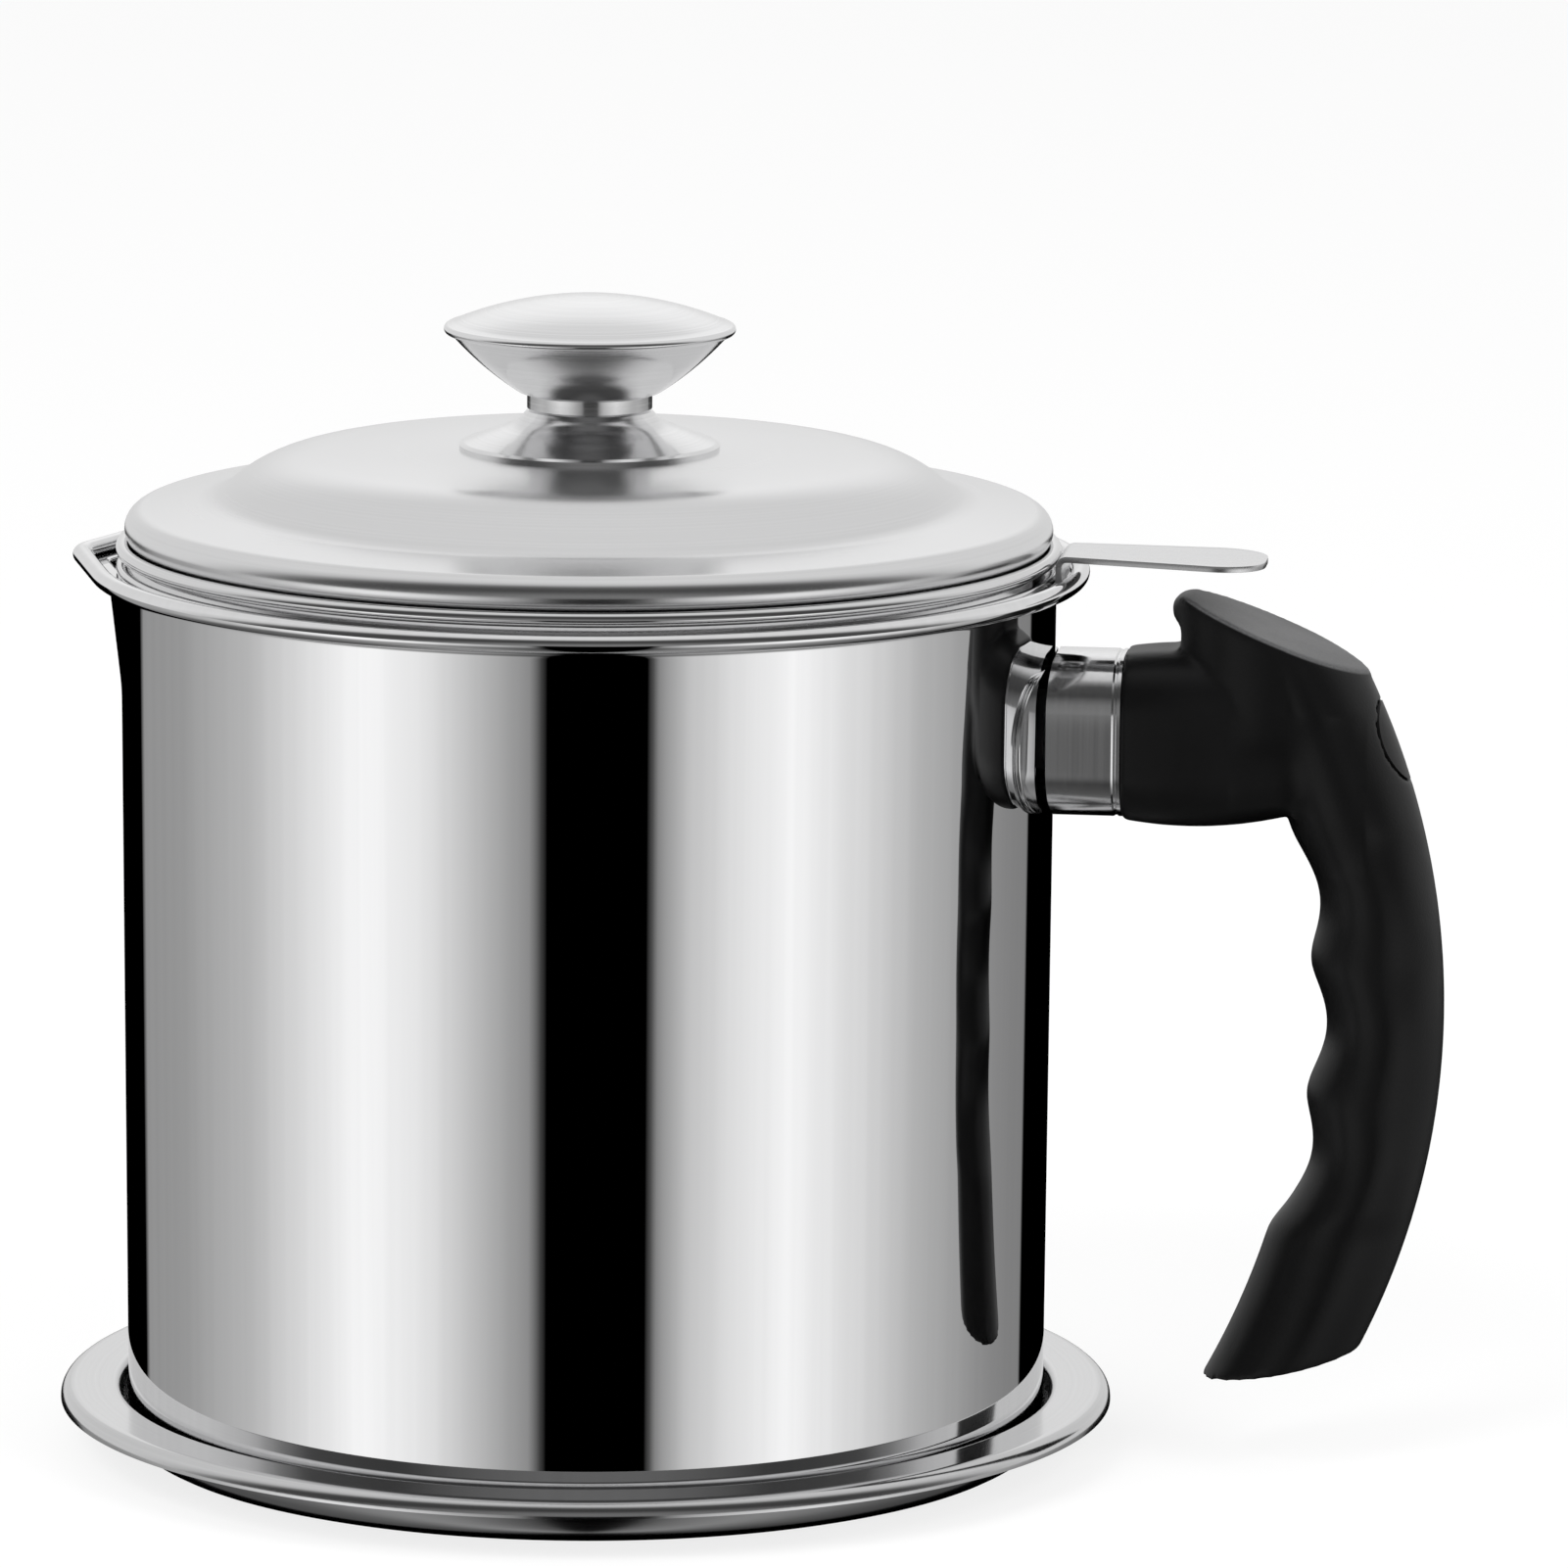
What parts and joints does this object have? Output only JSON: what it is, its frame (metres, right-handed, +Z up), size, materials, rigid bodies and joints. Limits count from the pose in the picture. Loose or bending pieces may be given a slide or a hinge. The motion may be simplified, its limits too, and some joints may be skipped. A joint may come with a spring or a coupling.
{
  "type": "bacon grease container",
  "caption": "Round steel grease pot with a spout, drop-in strainer, domed lid with knob, side grip and loose drip tray.",
  "frame": {"origin": "centre of the tray's flat underside, on the surface that the part stands on", "axes": "+Z up along the pot's axis, +X towards the handle and the strainer's tab, -X towards the pouring spout"},
  "size_m": [0.2099, 0.16, 0.1752],
  "materials": {
    "tray_steel": "satin brushed stainless steel with a bright rolled edge",
    "polished_steel": "mirror-polished stainless steel",
    "lid_steel": "fine satin-polished stainless steel",
    "knob_steel": "polished stainless steel",
    "strainer_steel": "satin stainless steel",
    "fastener_steel": "plain stainless steel",
    "grip_black": "matte black moulded phenolic"
  },
  "bodies": {
    "tray": {"tray": "tray_steel"},
    "pot": {"pot_body": "polished_steel", "handle_saddle": "polished_steel", "handle_ferrule": "polished_steel", "handle_stud": "fastener_steel", "handle_grip": "grip_black", "handle_plug": "grip_black", "handle_screw": "fastener_steel", "handle_lock_washer": "fastener_steel"},
    "strainer": {"strainer_bowl": "strainer_steel", "strainer_screen": "strainer_steel", "strainer_tab": "strainer_steel"},
    "lid": {"lid_shell": "lid_steel", "knob_base": "knob_steel", "knob_neck": "knob_steel", "knob_cone": "knob_steel", "knob_cap": "knob_steel", "knob_insert": "fastener_steel", "knob_screw": "fastener_steel", "knob_washer": "fastener_steel", "knob_lock_washer": "fastener_steel"}
  },
  "joints": [
    {"name": "pot_lift", "type": "slide", "parent": "tray", "child": "pot", "axis": [0, 0, 1], "range_m": [0, 0.05]},
    {"name": "strainer_lift", "type": "slide", "parent": "pot", "child": "strainer", "axis": [0, 0, 1], "range_m": [0, 0.06]},
    {"name": "lid_lift", "type": "slide", "parent": "strainer", "child": "lid", "axis": [0, 0, 1], "range_m": [0, 0.05]}
  ]
}
